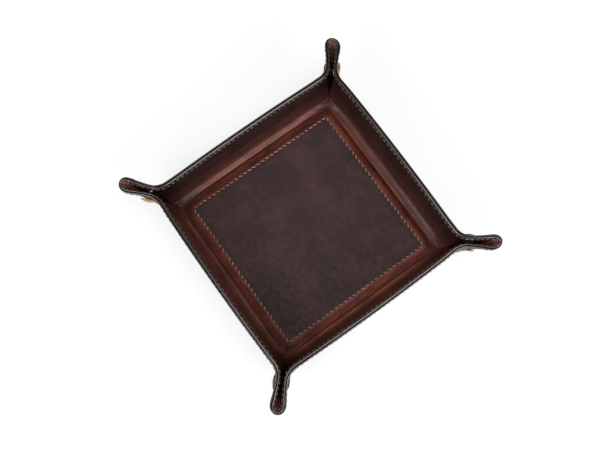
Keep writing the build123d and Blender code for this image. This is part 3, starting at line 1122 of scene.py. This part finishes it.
layerGap = 0.05 * mm
layers = {
    "lining": (sheet["layer"] + layerGap, skin, True, liningLeather, "lining_leather"),
    "outer": (0.0, sheet["layer"] - layerGap, False, outerLeather, "outer_leather"),
}
for layer, (first, last, lifted, material, slotName) in layers.items():
    inner, outer = layerFaces(first, last, lifted)
    innerNormals, outerNormals = shellNormals(inner, outer)
    for part, numbers in sorted(facePieces.items(), key=lambda entry: partName(entry[0])):
        name = f"{partName(part)}_{layer}_leather"
        finish = panelLeather if part[0] == "floor" and layer == "lining" else material
        piece = cutShell(name, numbers, inner, outer, innerNormals, outerNormals, finish, layer == "lining")
        hangPiece(piece, part)
        if part[0] != "loop":
            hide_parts(f"{partName(part)}_{layer}")
        elif part[1][1] == "cap" and layer == "outer":
            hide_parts(cornerNames[part[1][0]] + "_ear_fold")
    print(layer, "leather cut and hung")


# Stitches: a seam line on each face of the leather, cut into threads by Geometry Nodes
stitch = {
    "Pitch": 4.2 * mm,
    "Stitch Length": 3.05 * mm,
    "Thread Radius": 0.45 * mm,
    "Stands Up": 0.18 * mm,        # of the thread's middle over the leather
    "Dives": 0.60 * mm,            # of its ends into their holes
    "Slant": 0.42 * mm,
}
seam = {
    "lineStep": 0.5 * mm,
    "endMargin": 1e-9,             # within which a place counts as a line's end
    "turnPlaces": 12,              # of the line round half of a corner, and along a side of the panel
    "panelPlaces": 260,
    "samples": 14.0,               # along one pitch
    "nudge": 0.0001,               # that keeps a line's last place in its last stitch
    "archPower": 3.0,
    "slantChange": 0.35,
    "taper": 0.3,
    "sides": 8,
    "seed": 7,
}


def threadTree():
    tree = bpy.data.node_groups.new("saddleStitches", "GeometryNodeTree")
    kinds = {"Seam": "Geometry", **dict.fromkeys(stitch, "Float"), "Seed": "Int", "Thread": "Material"}
    for name, kind in kinds.items():
        tree.interface.new_socket(name, in_out="INPUT", socket_type="NodeSocket" + kind)
    tree.interface.new_socket("Stitches", in_out="OUTPUT", socket_type="NodeSocketGeometry")
    nodes = Nodes(tree)
    given = nodes.add("NodeGroupInput").outputs
    pitch = given["Pitch"]

    def step(kind, inputs, out, **values):
        return nodes.add("GeometryNode" + kind, inputs, **values).outputs[out]

    def read(name, kind="FLOAT"):
        return step("InputNamedAttribute", {"Name": name}, "Attribute", data_type=kind)

    curve = step("MeshToCurve", {"Mesh": given["Seam"]}, "Curve")
    sampled = {"Curve": curve, "Length": nodes.over(pitch, seam["samples"])}
    curve = step("ResampleCurve", sampled, "Curve", mode="LENGTH")
    # a whole number of stitches on every line
    count = nodes.math("ROUND", nodes.over(step("SplineLength", {}, "Length"), pitch))
    turns = nodes.times(step("SplineParameter", {}, "Factor"), nodes.math("MAXIMUM", count, 1.0))
    nudged = nodes.minus(turns, seam["nudge"])
    half = nodes.over(nodes.over(given["Stitch Length"], pitch), 2.0)
    share = nodes.over(nodes.minus(nodes.math("FRACT", nudged), 0.5), half)
    for name, value in (("share", share), ("turn", nodes.math("FLOOR", nudged))):
        stored = {"Geometry": curve, "Name": name, "Value": value}
        curve = step("StoreNamedAttribute", stored, "Geometry", data_type="FLOAT", domain="POINT")
    # what lies between two stitches is cut away
    away = nodes.math("ABSOLUTE", read("share"))
    compared = {"A": away, "B": 1.0}
    between = nodes.add("FunctionNodeCompare", compared, data_type="FLOAT", operation="GREATER_THAN")
    line = {"Geometry": step("CurveToMesh", {"Curve": curve}, "Mesh"), "Selection": between.outputs["Result"]}
    threads = step("MeshToCurve", {"Mesh": step("DeleteGeometry", line, "Geometry", domain="POINT")}, "Curve")
    # a low arch whose ends dive into the holes, at a slant that changes a little
    arch = nodes.math("POWER", away, seam["archPower"])
    standing = given["Stands Up"]
    height = nodes.minus(standing, nodes.times(arch, nodes.plus(standing, given["Dives"])))
    draw = {2: -seam["slantChange"], 3: seam["slantChange"], "ID": read("turn"), "Seed": given["Seed"]}
    drawn = nodes.add("FunctionNodeRandomValue", draw, data_type="FLOAT").outputs[1]
    aside = nodes.times(nodes.plus(drawn, 1.0), given["Slant"], read("share"))
    normal = read("faceNormal", "FLOAT_VECTOR")
    tangent = step("InputTangent", {}, "Tangent")
    beside = nodes.add("ShaderNodeVectorMath", {0: tangent, 1: normal}, operation="CROSS_PRODUCT").outputs[0]
    offsets = {0: nodes.scaled(normal, height), 1: nodes.scaled(beside, aside)}
    offset = nodes.add("ShaderNodeVectorMath", offsets, operation="ADD").outputs[0]
    moved = step("SetPosition", {"Geometry": threads, "Offset": offset}, "Geometry")
    taper = nodes.minus(1.0, nodes.times(arch, seam["taper"]))
    rail = step("SetCurveRadius", {"Curve": moved, "Radius": taper}, "Curve")
    ring = {"Resolution": seam["sides"], "Radius": given["Thread Radius"]}
    profile = step("CurvePrimitiveCircle", ring, "Curve")
    tube = step("CurveToMesh", {"Curve": rail, "Profile Curve": profile, "Fill Caps": True}, "Mesh")
    tube = step("SetShadeSmooth", {"Geometry": tube}, "Geometry")
    tube = step("RealizeInstances", {"Geometry": tube}, "Geometry")
    tube = step("SetMaterial", {"Geometry": tube, "Material": given["Thread"]}, "Geometry")
    nodes.add("NodeGroupOutput", {"Stitches": tube})
    return tree


saddleStitches = threadTree()


def surfaceLine(px, py, inward):
    # points and outward normals of the leather's inner or outer face along a flat line
    place, normal = softFrame(px, py)
    dip = seamDip(px, py, inward)
    height = skin + panelLift(px, py) + creaseRelief(px, py) + rimPadding(px, py) - dip if inward else dip
    points = leanEars(keepApart(place + normal * np.broadcast_to(height, px.shape)[:, None], px, py))
    return points, normal if inward else -normal


def rimSeamLine():
    # half of one wall's seam on the flat sheet, from the wall's middle to the ear's tip
    reach = sheetHalf - rim["seamInset"]
    inner = sheetHalf - sheet["cornerRadius"]
    radius = sheet["cornerRadius"] - rim["seamInset"]
    straight = np.linspace(0, inner, int(inner / seam["lineStep"]) + 1)
    turn = np.linspace(0, math.pi / 4, seam["turnPlaces"])[1:]
    px = np.concatenate([np.full(len(straight), reach), inner + radius * np.cos(turn)])
    py = np.concatenate([straight, inner + radius * np.sin(turn)])
    return px, py


def cutLine(px, py, first, last, rule):
    # the stretch of a line between two values of a rule, with its exact ends
    value = rule(px, py)
    inside = (value > first + seam["endMargin"]) & (value < last - seam["endMargin"])
    return [
        np.concatenate([[np.interp(first, value, p)], p[inside], [np.interp(last, value, p)]])
        for p in (px, py)
    ]


def makeStitches(name, flatRuns, thread):
    places, normals, edges = [], [], []
    for px, py in flatRuns:
        for inward in (True, False):
            points, outward = surfaceLine(px, py, inward)
            start = len(places)
            places.extend(points.tolist())
            normals.extend(outward.tolist())
            edges.extend((start + k, start + k + 1) for k in range(len(points) - 1))
    guide = bpy.data.meshes.new(name + "Line")
    guide.from_pydata(places, edges, [])
    attribute = guide.attributes.new("faceNormal", "FLOAT_VECTOR", "POINT")
    attribute.data.foreach_set("vector", np.array(normals, np.float32).ravel())
    line = linked(name + "Line", guide)
    modifier = line.modifiers.new("stitches", "NODES")
    modifier.node_group = saddleStitches
    values = {**stitch, "Seed": seam["seed"], "Thread": thread}
    for item in saddleStitches.interface.items_tree:
        if item.name in values:
            modifier[item.identifier] = values[item.name]
    bpy.context.view_layer.update()
    evaluated = line.evaluated_get(bpy.context.evaluated_depsgraph_get())
    mesh = bpy.data.meshes.new_from_object(evaluated)
    for extra in ("share", "turn", "faceNormal"):
        if extra in mesh.attributes:
            mesh.attributes.remove(mesh.attributes[extra])
    bpy.data.objects.remove(line)
    return linked(name, mesh)


def tipTurn(px, py):
    # a place's angle about the end of the crease
    return np.arctan2(py - crease, px - crease)


def turnFlat(wall, px, py):
    turn = wallTurn(wall)
    return turn[0, 0] * px + turn[0, 1] * py, turn[1, 0] * px + turn[1, 1] * py


square = np.linspace(-panel["seamHalf"], panel["seamHalf"], seam["panelPlaces"])
side = np.full(len(square), panel["seamHalf"])
panelRuns = [turnFlat(wall, side, square) for wall in wallNames]
piece = makeStitches("floor_thread_stitches", panelRuns, waxedThread)
hangPiece(piece, ("floor", None))
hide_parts("floor_thread")

seamX, seamY = rimSeamLine()
neckEnd = -splits["neckReach"]
halfX, halfY = cutLine(seamX, seamY, pastNeck(seamX, seamY)[0], neckEnd, pastNeck)
wholeX = np.concatenate([halfX[::-1], halfX[1:]])
wholeY = np.concatenate([-halfY[::-1], halfY[1:]])
for wall in wallNames:
    piece = makeStitches(wall + "_wall_stitches", [turnFlat(wall, wholeX, wholeY)], rimThread)
    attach(piece, wall + "_wall")
    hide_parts(wall + "_wall_thread")

flapFirst = float(tipTurn(halfX[-1], halfY[-1]))
for kind, first, last in (("flap", flapFirst, touchAngle), ("loop", touchAngle, math.pi / 4)):
    fromX, fromY = cutLine(seamX[seamY > 0], seamY[seamY > 0], first, last, tipTurn)
    for corner in cornerNames:
        for which in ("cap", "post"):
            x, y = (fromX, fromY) if which == "cap" else (fromY, fromX)
            part = (kind, (corner, which))
            piece = makeStitches(partName(part) + "_stitches", [(x * corner[0], y * corner[1])], rimThread)
            hangPiece(piece, part)
            if kind == "flap":
                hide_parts(partName(part) + "_thread")
print("stitches sewn")


# Snaps: each piece is turned about the shank's axis. Outlines are in millimetres, from the axis outwards and
# back, with heights over the leather. They hold places, by radius and height, and arcs, by two places, a
# sag and a number of steps
snapOutlines = {
    "cap": [
        (5.65, 0.64), (5.80, 0.50), (5.90, 0.52, 6.38, 0.12, 0.26, 7),
        (6.15, 0), (1.6, 0), (1.6, -2.8), (0, -2.8),
    ],
    "socket": [
        (0, -0.05), (1.0, 0.15), (1.9, 0.15), (2.1, -0.2), (2.75, -0.2), (2.75, 0.4),
        (2.53, 0.55, 3.10, 0.9, 0.12, 5), (3.6, 0.88, 4.3, 0.3, 0.18, 5), (4.3, -0.6), (0, -0.6),
    ],
    "stud": [
        (0, 0.25), (1.15, 0.25), (1.15, 0.95), (1.30, 1.1, 1.9, 0.55, 0.20, 7), (1.62, 0.15), (1.62, -0.14),
        (3.15, -0.2), (3.4, -0.35), (3.4, -0.6), (0, -0.6),
    ],
    "post": [
        (0, 0.315), (1.2, 0.315), (1.35, 0.434), (2.4, 0.49), (3.0, 0.644, 4.6, 0.245, 0.22, 8),
        (4.5, 0), (0, 0),
    ],
}
crown = {"radius": 5.65, "foot": 0.64, "rise": 1.5, "power": 0.8, "reach": 0.97, "rings": 12}    # of the cap
lathe = {"sides": 44, "sharp": 38, "aside": (0.31, 0.17, 0.93)}    # aside: a direction that no shank has


def arc(first, last, sag, count):
    # places from one to another, bulging to the left of the way by the sag
    first, last = np.array(first, float), np.array(last, float)
    way = last - first
    left = np.array([-way[1], way[0]]) / np.linalg.norm(way)
    shares = np.linspace(0, 1, count + 1)
    return [tuple(first + way * t + left * sag * 4 * t * (1 - t)) for t in shares]


def outlineOf(kind):
    out = []
    if kind == "cap":
        for t in np.linspace(0, crown["reach"], crown["rings"]):
            out.append((crown["radius"] * t, crown["foot"] + crown["rise"] * (1 - t * t) ** crown["power"]))
    for entry in snapOutlines[kind]:
        out += [entry] if len(entry) == 2 else arc(entry[:2], entry[2:4], *entry[4:])
    return np.array(out) * mm


def turned(name, outline, place, axis, material):
    # a closed solid whose outline, of radius and height, starts and ends on the axis
    axis = unit(axis)
    aside = unit(np.cross(axis, lathe["aside"]))
    other = np.cross(axis, aside)
    count = lathe["sides"]
    turns = np.arange(count) * 2 * math.pi / count
    spokes = np.cos(turns)[:, None] * aside + np.sin(turns)[:, None] * other
    rings = outline[1:-1]
    points = [place + axis * outline[0][1]]
    for radius, height in rings:
        points.extend(place + axis * height + spokes * radius)
    points.append(place + axis * outline[-1][1])
    last = 1 + (len(rings) - 1) * count
    faces = []
    for j in range(count):
        k = (j + 1) % count
        faces.append([0, 1 + j, 1 + k])
        for a in range(1, last, count):
            faces.append([a + j, a + count + j, a + count + k, a + k])
        faces.append([last + j, len(points) - 1, last + k])
    made = makeMesh(name, np.array(points), faces, materials=(material,))
    made.data.set_sharp_from_angle(angle=math.radians(lathe["sharp"]))
    return made


def snapPlace(corner, which):
    # centres on the outer face and the lining's face, and the direction outwards
    x, y = snapFlat(corner, which)
    faces = [surfaceLine(np.array([x]), np.array([y]), inward)[0][0] for inward in (False, True)]
    return faces[0], faces[1], unit(faces[0] - faces[1])


snapKinds = {
    "cap": ("cap", antiqueBrass, "snap_brass", True),
    "socket": ("cap", springSteel, "snap_steel", False),
    "post": ("post", antiqueBrass, "snap_brass", True),
    "stud": ("post", springSteel, "snap_steel", False),
}
for corner, cornerName in cornerNames.items():
    for kind, (which, shine, slotName, outside) in snapKinds.items():
        outerPlace, innerPlace, outwards = snapPlace(corner, which)
        node = f"{cornerName}_snap_{kind}"
        place, axis = (outerPlace, outwards) if outside else (innerPlace, -outwards)
        piece = turned(node + "_metal", outlineOf(kind), place, axis, shine)
        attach(piece, f"{cornerName}_{which}_flap")
        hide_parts(node)
print("snaps set")


# Stage, light and camera
stage = {
    "floorSpan": 12.0,
    "floorColour": (0.90, 0.90, 0.90),
    "floorRoughness": 0.9,
    "glowShare": 0.74,             # of its own white that the floor shows the camera
    "room": 0.36,                  # strength of the light from all round
}
view = {
    "turn": 35.73,                 # degrees about the upright axis
    "tilt": -11.39,
    "roll": 0.1,
    "distance": 671.3 * mm,
    "aside": (6.02 * mm, 2.89 * mm),
    "aim": (0, 0, 15 * mm),
    "lens": 54.0,
    "sensor": 36.0,
    "clip": (0.01, 50),
}
lamps = {
    "frontSoftbox": {"place": (0.25, -0.90, 0.44), "size": 0.55, "power": 8.2},
    "sideSoftbox": {"place": (-0.85, -0.10, 0.55), "size": 0.45, "power": 6.8},
    "topSoftbox": {"place": (0.15, -0.15, 1.30), "size": 0.8, "power": 7.8},
}

floorMesh = bpy.data.meshes.new("paleFloor")
reach = stage["floorSpan"] / 2
floorCorners = [(-reach, -reach, 0), (reach, -reach, 0), (reach, reach, 0), (-reach, reach, 0)]
floorMesh.from_pydata(floorCorners, [], [(0, 1, 2, 3)])
paleFloor = linked("paleFloor", floorMesh)
floorMaterial, nodes, shader = newMaterial("palePaper")
nodes.fill(shader, {"Base Color": stage["floorColour"], "Roughness": stage["floorRoughness"]})
glow = nodes.add("ShaderNodeEmission", {"Color": (1.0, 1.0, 1.0), "Strength": 1.0}).outputs[0]
rays = nodes.add("ShaderNodeLightPath").outputs
seen = nodes.math("ADD", rays["Is Camera Ray"], rays["Is Glossy Ray"], clamp=True)
seen = nodes.math("ADD", seen, rays["Is Transmission Ray"], clamp=True)
shares = {0: nodes.times(seen, stage["glowShare"]), 1: shader.outputs[0], 2: glow}
surface = nodes.add("ShaderNodeMixShader", shares).outputs[0]
nodes.fill(floorMaterial.node_tree.nodes["Material Output"], {"Surface": surface})
paleFloor.data.materials.append(floorMaterial)

turning = (
    Matrix.Rotation(math.radians(view["tilt"]), 3, "X")
    @ Matrix.Rotation(math.radians(view["roll"]), 3, "Y")
    @ Matrix.Rotation(math.radians(view["turn"]), 3, "Z")
)
cameraData = bpy.data.cameras.new("camera")
cameraData.lens = view["lens"]
cameraData.sensor_width = view["sensor"]
cameraData.clip_start, cameraData.clip_end = view["clip"]
camera = linked("camera", cameraData)
back = Vector((*view["aside"], -view["distance"]))
camera.location = Vector(view["aim"]) - turning.transposed() @ back
camera.rotation_mode = "QUATERNION"
camera.rotation_quaternion = turning.transposed().to_quaternion()
bpy.context.scene.camera = camera

for name, lamp in lamps.items():
    light = bpy.data.lights.new(name, "AREA")
    light.shape = "SQUARE"
    light.size = lamp["size"]
    light.energy = lamp["power"]
    holder = linked(name, light)
    holder.location = lamp["place"]
    holder.rotation_mode = "QUATERNION"
    holder.rotation_quaternion = (-Vector(lamp["place"])).to_track_quat("-Z", "Y")
world = bpy.data.worlds.new("room")
bpy.context.scene.world = world
world.use_nodes = True
background = world.node_tree.nodes["Background"]
background.inputs["Color"].default_value = (1, 1, 1, 1)
background.inputs["Strength"].default_value = stage["room"]
bpy.context.scene.view_settings.view_transform = "Standard"
print("stage set")
